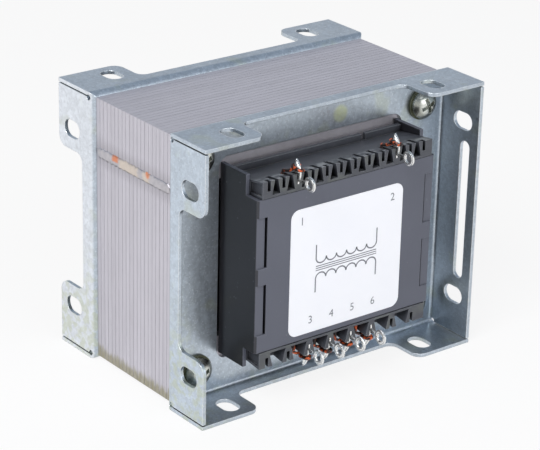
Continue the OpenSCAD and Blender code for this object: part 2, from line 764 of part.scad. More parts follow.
e_core();
i_core();
left_weld();
right_weld();
front_frame();
rear_frame();
bobbin();
primary_winding();
winding_insulation();
secondary_winding();
outer_wrap();
front_cover();
rear_cover();
label();
clamp_screws();
front_washers();
rear_washers();
clamp_nuts();
upper_tag_1();
upper_tag_2();
lower_tag_1();
lower_tag_2();
lower_tag_3();
lower_tag_4();
upper_lead_1();
upper_lead_2();
lower_lead_1();
lower_lead_2();
lower_lead_3();
lower_lead_4();
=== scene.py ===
"""Looks of a laminated transformer clamped between two folded end frames.

Everything is in metres in the row frame: X runs through the stack with the terminals at +X,
Y runs across and Z is up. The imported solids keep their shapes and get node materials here.
Weld beads, nuts, screw threads, solder and the label's marks are modelled in this script.
"""

import math

import bpy
from mathutils import Matrix, Vector, noise


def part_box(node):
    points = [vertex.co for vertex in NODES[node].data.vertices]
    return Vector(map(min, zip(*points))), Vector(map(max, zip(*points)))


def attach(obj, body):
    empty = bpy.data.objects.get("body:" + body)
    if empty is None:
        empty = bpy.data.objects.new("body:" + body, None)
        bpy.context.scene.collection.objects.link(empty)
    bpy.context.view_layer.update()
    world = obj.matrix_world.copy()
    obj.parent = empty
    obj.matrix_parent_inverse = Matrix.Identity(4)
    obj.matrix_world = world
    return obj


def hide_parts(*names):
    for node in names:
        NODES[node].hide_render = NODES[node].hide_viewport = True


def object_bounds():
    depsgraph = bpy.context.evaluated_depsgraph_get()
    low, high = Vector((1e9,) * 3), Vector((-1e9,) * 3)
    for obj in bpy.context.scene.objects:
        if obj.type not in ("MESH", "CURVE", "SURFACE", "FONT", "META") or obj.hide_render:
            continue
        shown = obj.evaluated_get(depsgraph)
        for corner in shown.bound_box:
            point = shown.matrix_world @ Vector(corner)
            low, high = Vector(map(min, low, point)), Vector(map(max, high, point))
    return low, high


MM = 0.001

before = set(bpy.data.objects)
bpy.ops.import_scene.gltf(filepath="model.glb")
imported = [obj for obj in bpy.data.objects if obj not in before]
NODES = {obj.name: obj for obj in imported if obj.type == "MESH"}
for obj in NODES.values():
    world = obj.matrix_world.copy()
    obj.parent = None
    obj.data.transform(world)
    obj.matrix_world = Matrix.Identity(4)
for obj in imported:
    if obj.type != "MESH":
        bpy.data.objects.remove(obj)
CAD_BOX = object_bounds()


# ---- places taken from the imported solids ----


def corner_centres(node):
    """Centres of the four solids of a node that has one solid in each corner of the frames."""
    low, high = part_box(node)
    middle = (low + high) / 2
    centres = []
    for side_y in (-1, 1):
        for side_z in (-1, 1):
            points = [
                v.co
                for v in NODES[node].data.vertices
                if (v.co.y - middle.y) * side_y > 0 and (v.co.z - middle.z) * side_z > 0
            ]
            lows = Vector([min(p[i] for p in points) for i in range(3)])
            highs = Vector([max(p[i] for p in points) for i in range(3)])
            centres.append((lows + highs) / 2)
    return centres


JOINT_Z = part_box("i_core")[0].z
FRAME_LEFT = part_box("front_frame")[0].y
BOBBIN_LOW, BOBBIN_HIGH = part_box("bobbin")
LABEL_LOW, LABEL_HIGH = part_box("label")

# the solder follows the tags: their prongs' feet and lean, and their eyelets
UPPER_PRONG_BACK = 0.3 * MM
LOWER_PRONG_BACK = 1.7 * MM
PRONG_INSET = 0.35 * MM
PRONG_LEAN = math.radians(12)
EYELET_RADIUS = 2.4 * MM
EYELET_RIM_RADIUS = 1.8 * MM

# print stands clear of the label by this much
INK_LIFT = 0.012 * MM

# the clamping screws' thread
THREAD_PITCH = 0.8 * MM
THREAD_CREST = 2.6 * MM
THREAD_ROOT = 2.47 * MM
NUT_BORE = 2.52 * MM

# the photograph's view
CAMERA_PLACE = Vector((0.5236, -0.4093, 0.3189))
CAMERA_BACK = Vector((0.7266, -0.5687, 0.3856))
CAMERA_UP = Vector((-0.3210, 0.2208, 0.9210))
CAMERA_LENS = 149.6


# ---- node materials ----


def linear(colour):
    """Scene-linear RGBA of an 8-bit display colour."""
    parts = [c / 255 for c in colour]
    return [p / 12.92 if p < 0.04045 else ((p + 0.055) / 1.055) ** 2.4 for p in parts] + [1.0]


class Surface:
    """One material, with a short call for each kind of node. Coordinates are in millimetres."""

    def __init__(self, name):
        self.material = bpy.data.materials.new(name)
        self.material.use_nodes = True
        self.tree = self.material.node_tree
        self.tree.nodes.clear()
        coords = self.add("ShaderNodeTexCoord").outputs["Object"]
        self.place = self.vector("SCALE", coords, scale=1 / MM)
        split = self.add("ShaderNodeSeparateXYZ")
        self.link(self.place, split.inputs[0])
        self.x, self.y, self.z = split.outputs
        normal = self.add("ShaderNodeSeparateXYZ")
        self.link(self.add("ShaderNodeNewGeometry").outputs["Normal"], normal.inputs[0])
        self.facing_x, self.facing_y, self.facing_z = normal.outputs

    def add(self, kind, **settings):
        """A new node with its settings."""
        node = self.tree.nodes.new(kind)
        for key, value in settings.items():
            setattr(node, key, value)
        return node

    def link(self, source, socket):
        """Links a node's output to another node's input."""
        self.tree.links.new(source, socket)

    def put(self, socket, value):
        """Links a node's output to a socket, or sets the socket to a plain value."""
        if isinstance(value, bpy.types.NodeSocket):
            self.link(value, socket)
        else:
            socket.default_value = value

    def vector(self, operation, a, b=(0, 0, 0), scale=1.0):
        """The vector that the operation gives; only SCALE uses scale."""
        node = self.add("ShaderNodeVectorMath", operation=operation)
        self.put(node.inputs[0], a)
        self.put(node.inputs[1], b)
        if operation == "SCALE":
            node.inputs["Scale"].default_value = scale
        return node.outputs[0]

    def math(self, operation, a, b=0.0):
        """The number that the operation gives."""
        node = self.add("ShaderNodeMath", operation=operation)
        self.put(node.inputs[0], a)
        self.put(node.inputs[1], b)
        return node.outputs[0]

    def product(self, *values):
        """All the values multiplied together."""
        total = values[0]
        for value in values[1:]:
            total = self.math("MULTIPLY", total, value)
        return total

    def either(self, *values):
        """The largest of the values."""
        total = values[0]
        for value in values[1:]:
            total = self.math("MAXIMUM", total, value)
        return total

    def step(self, value, start, end):
        """Rises smoothly from 0 at start to 1 at end, which may lie below start."""
        node = self.add("ShaderNodeMapRange", interpolation_type="SMOOTHSTEP")
        low, high = min(start, end), max(start, end)
        rising = end > start
        self.put(node.inputs["Value"], value)
        node.inputs["From Min"].default_value = low
        node.inputs["From Max"].default_value = high
        node.inputs["To Min"].default_value = 0.0 if rising else 1.0
        node.inputs["To Max"].default_value = 1.0 if rising else 0.0
        return node.outputs["Result"]

    def band(self, value, low, high, soft):
        """1 between low and high, fading out over soft on both sides."""
        return self.product(
            self.step(value, low - soft, low + soft), self.step(value, high + soft, high - soft)
        )

    def spot(self, axis_a, a, axis_b, b, radius, soft):
        """A round spot about the point (a, b) on two of the axes."""
        square_a = self.math("POWER", self.math("SUBTRACT", axis_a, a), 2.0)
        square_b = self.math("POWER", self.math("SUBTRACT", axis_b, b), 2.0)
        distance = self.math("SQRT", self.math("ADD", square_a, square_b))
        return self.step(distance, radius + soft, radius - soft)

    def grain(self, size, detail=2.0, stretch=(1, 1, 1), roughness=0.5):
        """Noise from 0 to 1 whose grains are about size mm, stretched along the axes."""
        node = self.add("ShaderNodeTexNoise")
        place = self.vector("DIVIDE", self.place, tuple(size * s for s in stretch))
        self.link(place, node.inputs["Vector"])
        node.inputs["Scale"].default_value = 1.0
        node.inputs["Detail"].default_value = detail
        node.inputs["Roughness"].default_value = roughness
        return node.outputs["Fac"]

    def cells(self, size):
        """A random value from 0 to 1 for each crystal-like cell of about size mm."""
        node = self.add("ShaderNodeTexVoronoi")
        place = self.vector("DIVIDE", self.place, (size, size, size))
        self.link(place, node.inputs["Vector"])
        node.inputs["Scale"].default_value = 1.0
        split = self.add("ShaderNodeSeparateColor")
        self.link(node.outputs["Color"], split.inputs[0])
        return split.outputs[0]

    def layers(self, value, pitch):
        """A random value from 0 to 1 for each layer of the given pitch along an axis."""
        node = self.add("ShaderNodeTexWhiteNoise", noise_dimensions="1D")
        self.link(self.math("FLOOR", self.math("DIVIDE", value, pitch)), node.inputs["W"])
        return node.outputs["Value"]

    def mix(self, amount, a, b):
        """Colour a where amount is 0, colour b where it is 1."""
        node = self.add("ShaderNodeMix", data_type="RGBA")
        self.put(node.inputs["Factor"], amount)
        self.put(node.inputs[6], a)
        self.put(node.inputs[7], b)
        return node.outputs[2]

    def shade(self, colour, amount, low, high):
        """The colour times a grey that runs from low to high with amount."""
        node = self.add("ShaderNodeMix", data_type="RGBA", blend_type="MULTIPLY")
        node.inputs["Factor"].default_value = 1.0
        self.put(node.inputs[6], colour)
        self.put(node.inputs[7], self.span(amount, low, high))
        return node.outputs[2]

    def span(self, amount, low, high):
        """A number that runs from low to high with amount."""
        node = self.add("ShaderNodeMapRange")
        self.put(node.inputs["Value"], amount)
        node.inputs["To Min"].default_value = low
        node.inputs["To Max"].default_value = high
        return node.outputs["Result"]

    def edges(self, radius):
        """1 on edges, within about radius mm of them, and 0 on flat faces; the materials paint
        highlights onto edges with it.
        """
        bevel = self.add("ShaderNodeBevel", samples=6)
        bevel.inputs["Radius"].default_value = radius * MM
        normal = self.add("ShaderNodeNewGeometry").outputs["Normal"]
        dot = self.add("ShaderNodeVectorMath", operation="DOT_PRODUCT")
        self.link(bevel.outputs[0], dot.inputs[0])
        self.link(normal, dot.inputs[1])
        return self.step(dot.outputs["Value"], 0.985, 0.75)

    def crevices(self, reach, open_share):
        """1 deep in gaps tighter than about reach mm, 0 where more than open_share is unblocked; the
        materials paint shade into gaps with it.
        """
        node = self.add("ShaderNodeAmbientOcclusion", samples=6)
        node.inputs["Distance"].default_value = reach * MM
        return self.step(node.outputs["AO"], open_share, open_share * 0.35)

    def soft_edges(self, radius):
        """Normals that round off sharp edges."""
        bevel = self.add("ShaderNodeBevel", samples=6)
        bevel.inputs["Radius"].default_value = radius * MM
        return bevel.outputs[0]

    def bump(self, height, depth, normal=None):
        """Normals of a relief that is depth mm high where height is 1."""
        node = self.add("ShaderNodeBump")
        node.inputs["Strength"].default_value = 1.0
        node.inputs["Distance"].default_value = depth * MM
        self.put(node.inputs["Height"], height)
        if normal is not None:
            self.link(normal, node.inputs["Normal"])
        return node.outputs["Normal"]

    def done(self, colour, roughness, metallic=0.0, normal=None):
        """Ends the material in one shader."""
        shader = self.add("ShaderNodeBsdfPrincipled")
        self.put(shader.inputs["Base Color"], colour)
        self.put(shader.inputs["Roughness"], roughness)
        self.put(shader.inputs["Metallic"], metallic)
        if normal is not None:
            self.link(normal, shader.inputs["Normal"])
        output = self.add("ShaderNodeOutputMaterial")
        self.link(shader.outputs[0], output.inputs["Surface"])
        return self.material


def core_steel():
    """Sheared edges of electrical steel sheets, with fine streaks and a stained foot."""
    s = Surface("core_steel")
    upright = s.step(s.math("ABSOLUTE", s.facing_y), 0.5, 0.9)
    sheet = s.layers(s.x, 0.5)
    streak = s.grain(1.0, 4.0, (0.3, 26, 26), 0.6)
    scratch = s.grain(1.0, 3.0, (0.22, 3.2, 3.2), 0.7)
    colour = s.shade(linear((206, 203, 211)), sheet, 0.93, 1.02)
    colour = s.shade(colour, streak, 0.8, 1.16)
    colour = s.shade(colour, scratch, 0.86, 1.1)
    colour = s.shade(colour, s.grain(16.0, 2.0), 0.93, 1.05)
    dark_line = s.product(s.step(s.layers(s.math("ADD", s.x, 0.17), 0.37), 0.9, 0.97), 0.4)
    near_ends = s.step(s.math("ABSOLUTE", s.x), 7.0, 18.0)
    colour = s.mix(s.product(dark_line, near_ends), colour, linear((112, 110, 116)))
    left = s.step(s.facing_y, -0.4, -0.8)
    foot = s.step(s.math("ADD", s.z, s.span(s.grain(1.6, 3.0, (0.7, 1, 2)), -2.6, 2.6)), 6.2, 3.2)
    stain = s.product(left, foot, s.span(s.grain(0.8, 2.0, (0.5, 1, 4)), 0.35, 1.1))
    colour = s.mix(stain, colour, linear((146, 140, 104)))
    heat = s.step(s.math("ABSOLUTE", s.math("SUBTRACT", s.z, JOINT_Z / MM)), 6.0, 1.5)
    colour = s.mix(s.product(heat, upright, s.span(streak, 0.1, 0.7)), colour, linear((150, 146, 152)))
    # painted shade: dark olive in the gaps and corners where the frames meet the core
    colour = s.mix(s.product(s.crevices(1.4, 0.28), 0.8), colour, linear((58, 62, 44)))
    roughness = s.span(streak, 0.36, 0.58)
    relief = s.math("ADD", s.product(sheet, 0.3), s.product(scratch, 0.7))
    return s.done(colour, roughness, 0.6, s.bump(relief, 0.012))


def weld_bead():
    """Silvery weld metal with two copper heat tints, cream bands of painted highlight and a painted
    shadow along its lower edge.
    """
    s = Surface("weld_bead")
    joint = JOINT_Z / MM
    colour = s.mix(s.grain(1.4, 3.0), linear((168, 166, 172)), linear((206, 202, 206)))
    rough_x = s.math("ADD", s.x, s.span(s.grain(1.3, 2.0), -1.6, 1.6))
    # painted highlight: cream bands along the middle of the bead's length
    painted_glint = s.either(s.band(rough_x, -7.0, 3.0, 1.4), s.band(rough_x, 6.0, 9.0, 1.0))
    colour = s.mix(s.product(painted_glint, 0.5), colour, linear((232, 214, 190)))
    copper = s.either(s.band(rough_x, -10.6, -7.6, 0.8), s.band(rough_x, 7.2, 8.8, 0.7))
    above = s.step(s.z, joint - 0.4, joint + 0.3)
    colour = s.mix(s.product(copper, above, 0.85), colour, linear((226, 138, 92)))
    # painted shadow: the foot mask darkens the bead below the joint
    rough_z = s.math("ADD", s.z, s.span(s.grain(0.9, 2.0), -0.7, 0.7))
    foot = s.step(rough_z, joint - 0.9, joint - 1.6)
    colour = s.mix(s.product(foot, 0.8), colour, linear((96, 93, 98)))
    normal = s.bump(s.grain(0.5, 3.0), 0.05)
    return s.done(colour, s.span(s.grain(1.2), 0.24, 0.5), 0.85, normal)


def zinc_colour(s, tone):
    """Mottled zinc: small crystals, cloudy patches and fine pale speckle."""
    colour = s.shade(linear(tone), s.cells(0.9), 0.9, 1.06)
    colour = s.shade(colour, s.grain(2.2, 3.0, roughness=0.65), 0.8, 1.18)
    colour = s.shade(colour, s.grain(24.0, 2.0), 0.9, 1.08)
    fleck = s.step(s.grain(0.55, 2.0), 0.58, 0.68)
    return s.mix(s.product(fleck, 0.45), colour, linear((226, 233, 240)))


def zinc_sheet(name, tone, painted_lit_tone):
    """Bright zinc-plated sheet with painted highlights on its edges, painted shade tinted olive in its
    corners and a painted reflection on its outer left face.
    """
    s = Surface(name)
    left = FRAME_LEFT / MM
    patch_y, patch_z, patch_radius = 10.6, 83.4, 2.7
    # painted reflection: the outer face of the left flange takes a lighter tone, standing in for a lamp
    # mirrored in it
    painted_lit_face = s.product(s.step(s.facing_y, -0.5, -0.9), s.step(s.y, left + 0.8, left + 0.2))
    colour = s.mix(painted_lit_face, zinc_colour(s, tone), zinc_colour(s, painted_lit_tone))
    low_left = s.product(s.step(s.y, -40.0, -53.0), s.step(s.z, 46.0, 12.0))
    stained = s.product(low_left, s.step(s.grain(2.6, 3.0), 0.42, 0.6))
    clouds = s.product(s.step(s.grain(9.0, 2.0), 0.56, 0.72), 0.6)
    colour = s.mix(s.product(s.either(stained, clouds), 0.42), colour, linear((190, 196, 156)))
    disc = s.spot(s.y, patch_y, s.z, patch_z, patch_radius, 0.8)
    patch = s.product(disc, s.step(s.facing_x, 0.8, 0.95))
    colour = s.mix(s.product(patch, s.span(s.grain(1.6), 0.35, 0.8)), colour, linear((212, 220, 168)))
    # painted highlight: a pale band along every edge and bend
    colour = s.mix(s.product(s.edges(0.5), 0.9), colour, linear((240, 243, 244)))
    # painted shade: dark olive in corners and gaps
    colour = s.mix(s.product(s.crevices(1.6, 0.5), 0.9), colour, linear((44, 50, 36)))
    roughness = s.math("ADD", s.span(s.grain(3.0, 3.0), 0.22, 0.4), s.product(s.cells(0.9), 0.05))
    waves = s.bump(s.grain(26.0, 1.0), 0.5, s.soft_edges(0.35))
    return s.done(colour, roughness, 0.9, s.bump(s.grain(0.8, 2.0), 0.014, waves))


def bobbin_plastic():
    """Glass-filled moulding with smeared varnish, painted shade in its gaps, painted highlights on its
    edges and a painted reflection on its flat faces by the teeth.
    """
    s = Surface("bobbin_plastic")
    front = BOBBIN_HIGH.x / MM
    out = s.math("ABSOLUTE", s.x)
    smear = s.grain(3.2, 4.0, (1, 2.4, 1), 0.65)
    colour = s.mix(smear, linear((50, 52, 58)), linear((84, 87, 95)))
    colour = s.shade(colour, s.grain(0.5, 2.0), 0.86, 1.12)
    # painted reflection, not varnish: lighter patches on flat faces near the teeth stand in for the
    # surroundings mirrored in the glossy surface
    flat = s.step(s.math("ABSOLUTE", s.facing_z), 0.6, 0.9)
    by_teeth = s.step(out, front - 5.6, front - 3.2)
    varnish = s.product(flat, by_teeth, s.step(s.grain(2.0, 3.0, (1, 1.8, 1)), 0.44, 0.6))
    colour = s.mix(s.product(varnish, 0.75), colour, linear((146, 150, 154)))
    # painted highlight: pale bands along the edges
    colour = s.mix(s.product(s.edges(0.3), 0.6), colour, linear((150, 154, 162)))
    facing_out = s.step(s.math("ABSOLUTE", s.facing_x), 0.6, 0.9)
    tooth_front = s.product(s.step(out, front - 0.3, front - 0.1), facing_out)
    dusty = s.product(tooth_front, s.step(s.grain(7.0, 1.0), 0.5, 0.62))
    colour = s.mix(s.product(dusty, 0.15), colour, linear((132, 138, 122)))
    # painted shade: near black deep in the gaps between teeth and walls
    colour = s.mix(s.product(s.crevices(3.4, 0.72), 0.96), colour, linear((9, 9, 12)))
    normal = s.bump(s.grain(0.6, 3.0), 0.03, s.soft_edges(0.25))
    return s.done(colour, s.span(smear, 0.28, 0.52), 0.0, normal)


def cover_plastic():
    """Moulded cover: spark-eroded matt front, smoother sides painted darker as shade, painted highlights
    on its edges, painted shade in its gaps and a little dust.
    """
    s = Surface("cover_plastic")
    colour = s.mix(s.grain(18.0, 2.0), linear((84, 87, 98)), linear((93, 96, 108)))
    colour = s.shade(colour, s.grain(0.35, 2.0), 0.93, 1.07)
    # painted shade: faces across Y are painted much darker, standing in for the shade on the side walls;
    # they are also smoother
    side = s.step(s.math("ABSOLUTE", s.facing_y), 0.4, 0.8)
    colour = s.mix(side, colour, linear((30, 31, 36)))
    # painted highlight: lighter bands along the edges
    colour = s.mix(s.product(s.edges(0.35), 0.5), colour, linear((132, 136, 148)))
    dust = s.step(s.grain(1.0, 1.0), 0.75, 0.8)
    colour = s.mix(s.product(dust, 0.3), colour, linear((140, 144, 152)))
    # painted shade: near black in the gaps
    colour = s.mix(s.product(s.crevices(1.6, 0.6), 0.9), colour, linear((8, 8, 11)))
    normal = s.bump(s.grain(0.3, 2.0), 0.02, s.soft_edges(0.3))
    roughness = s.math("SUBTRACT", s.span(s.grain(6.0), 0.5, 0.6), s.product(side, 0.2))
    return s.done(colour, roughness, 0.0, normal)


def winding_wire():
    """Close turns of enamelled copper wire, one above the other, with painted shade between the turns
    and a painted highlight on each crest.
    """
    s = Surface("winding_wire")
    # painted shade and highlight: the colour runs dark in the grooves between turns and light on each
    # crest
    turn = s.math("ABSOLUTE", s.math("SINE", s.math("MULTIPLY", s.z, math.pi / 0.9)))
    colour = s.mix(turn, linear((84, 34, 18)), linear((184, 92, 48)))
    colour = s.shade(colour, s.layers(s.z, 0.9), 0.88, 1.08)
    return s.done(colour, s.span(s.grain(2.0), 0.22, 0.34), 0.7, s.bump(turn, 0.3))


def insulation_film():
    """Amber polyester film between the windings."""
    s = Surface("insulation_film")
    colour = s.mix(s.grain(9.0, 2.0), linear((208, 186, 118)), linear((228, 210, 150)))
    return s.done(colour, s.span(s.grain(4.0), 0.16, 0.3), 0.0, s.bump(s.grain(5.0), 0.1))


def wrap_tape():
    """Dark impregnated tape in overlapping bands round the coil."""
    s = Surface("wrap_tape")
    lap = s.math("FRACT", s.math("DIVIDE", s.z, 9.0))
    colour = s.mix(s.grain(4.0, 3.0), linear((34, 33, 36)), linear((54, 52, 54)))
    colour = s.shade(colour, s.step(lap, 0.0, 0.08), 0.55, 1.0)
    weave = s.product(s.grain(0.4, 1.0, (1, 1, 3)), 0.4)
    return s.done(colour, s.span(s.grain(3.0), 0.35, 0.55), 0.0, s.bump(s.math("ADD", lap, weave), 0.15))


def label_paper():
    """White film label, faintly uneven over the cover's texture."""
    s = Surface("label_paper")
    colour = s.mix(s.grain(12.0, 3.0), linear((243, 245, 251)), linear((249, 250, 254)))
    colour = s.shade(colour, s.step(s.grain(0.7, 1.0), 0.72, 0.8), 1.0, 0.97)
    normal = s.bump(s.grain(1.5, 2.0), 0.012, s.soft_edges(0.1))
    return s.done(colour, s.span(s.grain(5.0), 0.32, 0.42), 0.0, normal)


def printed_ink():
    """Thin grey print, a little broken up at its edges."""
    s = Surface("printed_ink")
    colour = s.mix(s.grain(0.4, 2.0), linear((96, 98, 106)), linear((132, 134, 142)))
    return s.done(colour, s.span(s.grain(2.0), 0.4, 0.55), 0.0, s.bump(s.grain(0.3), 0.004))


def plated_screw():
    """Bright plated steel with turning marks round each screw's axis and a yellowish cast."""
    s = Surface("plated_screw")
    colour = s.mix(s.grain(2.2, 2.0), linear((222, 224, 220)), linear((196, 200, 190)))
    colour = s.shade(colour, s.step(s.grain(0.5, 2.0), 0.62, 0.72), 1.0, 0.8)
    # painted shade: the floor of each head's recess is painted dark
    pit = s.step(s.x, 25.0, 24.2)
    painted_pit_shade = s.product(pit, s.step(s.facing_x, 0.95, 0.9), s.step(s.x, 22.0, 23.4))
    colour = s.mix(s.product(painted_pit_shade, 0.55), colour, linear((70, 70, 64)))
    normal = s.bump(s.grain(0.4, 2.0), 0.015, s.soft_edges(0.25))
    return s.done(colour, s.span(s.grain(1.4), 0.16, 0.34), 1.0, normal)


def dark_washer():
    """Washer with a dark olive passivated finish."""
    s = Surface("dark_washer")
    colour = s.mix(s.grain(1.6, 3.0), linear((62, 66, 50)), linear((96, 98, 80)))
    # painted highlight: lighter bands along the edges
    colour = s.mix(s.product(s.edges(0.3), 0.6), colour, linear((150, 152, 138)))
    return s.done(colour, s.span(s.grain(1.0), 0.3, 0.5), 0.75, s.soft_edges(0.2))


def tinned_tag():
    """Brass tag under bright tin, with painted shade where it enters the plastic."""
    s = Surface("tinned_tag")
    colour = s.mix(s.grain(0.9, 3.0), linear((226, 226, 224)), linear((248, 248, 246)))
    # painted shade: dark where the tag enters the plastic and in other tight gaps
    colour = s.mix(s.product(s.crevices(1.2, 0.5), 0.9), colour, linear((40, 34, 30)))
    dark = s.step(s.grain(0.9, 3.0), 0.62, 0.7)
    colour = s.mix(s.product(dark, 0.6), colour, linear((92, 86, 78)))
    normal = s.bump(s.grain(0.5, 2.0), 0.05, s.soft_edges(0.15))
    return s.done(colour, s.span(s.grain(0.8), 0.14, 0.32), 0.95, normal)


def solder():
    """Bright lumpy tin-lead solder with small dark flux patches."""
    s = Surface("solder")
    colour = s.mix(s.grain(0.7, 3.0), linear((218, 218, 216)), linear((250, 250, 249)))
    flux = s.step(s.grain(0.7, 2.0), 0.6, 0.68)
    colour = s.mix(s.product(flux, 0.75), colour, linear((84, 74, 60)))
    return s.done(colour, s.span(s.grain(0.5), 0.14, 0.34), 0.92, s.bump(s.grain(0.35, 2.0), 0.06))


def enamelled_lead():
    """Copper lead under brown varnish, orange-red where the enamel shows."""
    s = Surface("enamelled_lead")
    bare = s.step(s.grain(1.2, 2.0), 0.5, 0.58)
    colour = s.mix(bare, linear((44, 30, 27)), linear((204, 92, 48)))
    return s.done(colour, s.span(s.grain(0.8), 0.2, 0.4), 0.25, s.bump(s.grain(0.5), 0.03))


def floor_paint():
    """Pale studio floor, lifted towards white for the eye while it keeps the shadow."""
    s = Surface("floor_paint")
    colour = s.mix(s.grain(60.0, 2.0), (0.88, 0.885, 0.9, 1), (0.9, 0.905, 0.92, 1))
    matt = s.add("ShaderNodeBsdfDiffuse")
    s.link(colour, matt.inputs["Color"])
    white = s.add("ShaderNodeEmission")
    white.inputs["Color"].default_value = (1, 1, 1, 1)
    ray = s.add("ShaderNodeLightPath")
    seen = s.either(*(ray.outputs[f"Is {kind} Ray"] for kind in ("Camera", "Glossy", "Transmission")))
    blend = s.add("ShaderNodeMixShader")
    s.link(s.product(seen, 0.86), blend.inputs[0])
    s.link(matt.outputs[0], blend.inputs[1])
    s.link(white.outputs[0], blend.inputs[2])
    output = s.add("ShaderNodeOutputMaterial")
    s.link(blend.outputs[0], output.inputs["Surface"])
    return s.material


# ---- meshes ----


def make_piece(name, points, faces, material, smooth=True):
    """A mesh piece of the object, riding on the one body."""
    mesh = bpy.data.meshes.new(name)
    mesh.from_pydata([tuple(p) for p in points], [], faces)
    mesh.validate()
    if smooth:
        mesh.shade_smooth()
    piece = bpy.data.objects.new(name, mesh)
    bpy.context.scene.collection.objects.link(piece)
    mesh.materials.append(material)
    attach(piece, "root")
    return piece


def grid_faces(rows, columns, closed, start=0):
    """Quads between rows of points, joined round into a tube where closed."""
    faces = []
    for i in range(rows - 1):
        for j in range(columns if closed else columns - 1):
            k = (j + 1) % columns
            a, b = start + i * columns, start + (i + 1) * columns
            faces.append((a + j, b + j, b + k, a + k))
    return faces


def weld_piece(side, material):
    """A weld bead with crescent ripples, over the joint between the E and I sheets."""
    node = "right_weld" if side > 0 else "left_weld"
    low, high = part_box(node)
    rows, columns = 150, 13
    ripple, bow, length = 1.7 * MM, 0.9 * MM, high.x - low.x
    points = []
    for i in range(rows):
        along = i / (rows - 1)
        end_fade = min(1.0, 0.55 + 14 * along, 0.55 + 14 * (1 - along))
        for j in range(columns):
            angle = math.pi * j / (columns - 1)
            across = math.cos(angle)
            x = low.x + along * length
            crest = math.cos(2 * math.pi * (x + bow * across * across) / ripple)
            lumps = noise.noise(Vector((x / MM * 0.35, side * 3.0, across)))
            ragged = noise.noise(Vector((x / MM * 0.9, side * 7.0, math.copysign(4.0, across))))
            out = math.sin(angle) * end_fade * (0.76 + 0.08 * crest + 0.24 * lumps)
            width = end_fade * (0.84 + 0.22 * ragged)
            depth = (high.y - low.y) * min(out, 1.0)
            y = low.y + depth if side > 0 else high.y - depth
            z = JOINT_Z + across * width * (high.z - low.z) / 2
            points.append((x, y, z))
    faces = grid_faces(rows, columns, False)
    if side > 0:
        faces = [tuple(reversed(f)) for f in faces]
    piece = make_piece(f"{node}_bead", points, faces, material)
    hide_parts(node)
    return piece


def ring(centre, radius, count, x):
    """Points of a circle about an axis along X."""
    return [
        Vector((x, centre.y + radius * math.cos(a), centre.z + radius * math.sin(a)))
        for a in (2 * math.pi * k / count for k in range(count))
    ]


def hexagon(centre, flat_half, count, x):
    """Points of a hexagon about an axis along X, with its flats facing Y."""
    points = []
    for k in range(count):
        a = 2 * math.pi * k / count
        in_flat = (a + math.pi / 6) % (math.pi / 3) - math.pi / 6
        radius = flat_half / math.cos(in_flat)
        points.append(Vector((x, centre.y + radius * math.cos(a), centre.z + radius * math.sin(a))))
    return points


def nut_piece(material):
    """Four hexagon nuts with chamfered corners and a countersunk thread, behind the rear frame."""
    low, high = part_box("clamp_nuts")
    places = corner_centres("clamp_nuts")
    flat_half = (high.y - max(p.y for p in places)) * 0.995
    washer_face = flat_half * 0.97
    countersink = NUT_BORE * 1.16
    count, chamfer = 72, 0.55 * MM
    points, faces = [], []
    for centre in places:
        start = len(points)
        loops = [
            ring(centre, NUT_BORE, count, high.x),
            ring(centre, washer_face, count, high.x),
            hexagon(centre, flat_half, count, high.x - chamfer),
            hexagon(centre, flat_half, count, low.x + chamfer),
            ring(centre, washer_face, count, low.x),
            ring(centre, countersink, count, low.x),
            ring(centre, NUT_BORE, count, low.x + 0.4 * MM),
        ]
        loops.append(loops[0])
        for loop in loops:
            points += loop
        faces += grid_faces(len(loops), count, True, start)
    piece = make_piece("clamp_nut_set", points, faces, material, smooth=False)
    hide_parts("clamp_nuts")
    return piece


def thread_piece(material):
    """The threaded ends of the four screws, past the nuts."""
    low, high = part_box("clamp_screws")
    nut_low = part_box("clamp_nuts")[0].x
    rows, count, chamfer = 40, 40, 0.45 * MM
    points, faces = [], []
    for centre in corner_centres("clamp_screws"):
        start = len(points)
        for i in range(rows):
            x = nut_low + (low.x - nut_low) * i / (rows - 1)
            lead_in = max(0.0, 1 - (x - low.x) / chamfer)
            for k in range(count):
                a = 2 * math.pi * k / count
                phase = (x / THREAD_PITCH + k / count) % 1.0
                height = (1 - abs(2 * phase - 1)) * (1 - min(1.0, lead_in))
                r = THREAD_ROOT + (THREAD_CREST - THREAD_ROOT) * height
                points.append((x, centre.y + r * math.cos(a), centre.z + r * math.sin(a)))
        faces += grid_faces(rows, count, True, start)
        cap = len(points)
        points.append((low.x, centre.y, centre.z))
        last = start + (rows - 1) * count
        faces += [(last + k, cap, last + (k + 1) % count) for k in range(count)]
    return make_piece("screw_threads", points, faces, material)


def lump(place, fineness):
    """Smooth noise from about -1 to 1 at a place given in metres."""
    return noise.noise(place / MM * fineness)


def prong_loops(base, tip, rows, count):
    """Rows of points round a leaning prong: thick above its foot, drawn to a blunt tip."""
    half_width, half_film, half_swell = 1.3, 0.24, 0.5
    points = []
    for i in range(rows):
        t = i / (rows - 1)
        middle = base.lerp(tip, t)
        swell = (0.7 + 0.3 * math.sin(math.pi * min(1.0, 0.15 + 0.9 * t))) * (1 - 0.8 * t ** 3)
        for k in range(count):
            a = 2 * math.pi * k / count
            size = swell * (1 + 0.22 * lump(middle + Vector((math.cos(a), math.sin(a), 0)) * MM, 0.9))
            across_x = half_width * size * math.cos(a)
            across_y = (half_film + half_swell * size) * math.sin(a)
            points.append(middle + Vector((across_x, across_y, 0)) * MM)
    return points


def ring_faces(rows, columns, start):
    """Quads between rows of points that close up both ways."""
    faces = []
    for i in range(rows):
        a, b = start + i * columns, start + (i + 1) % rows * columns
        for k in range(columns):
            j = (k + 1) % columns
            faces.append((a + k, a + j, b + j, b + k))
    return faces


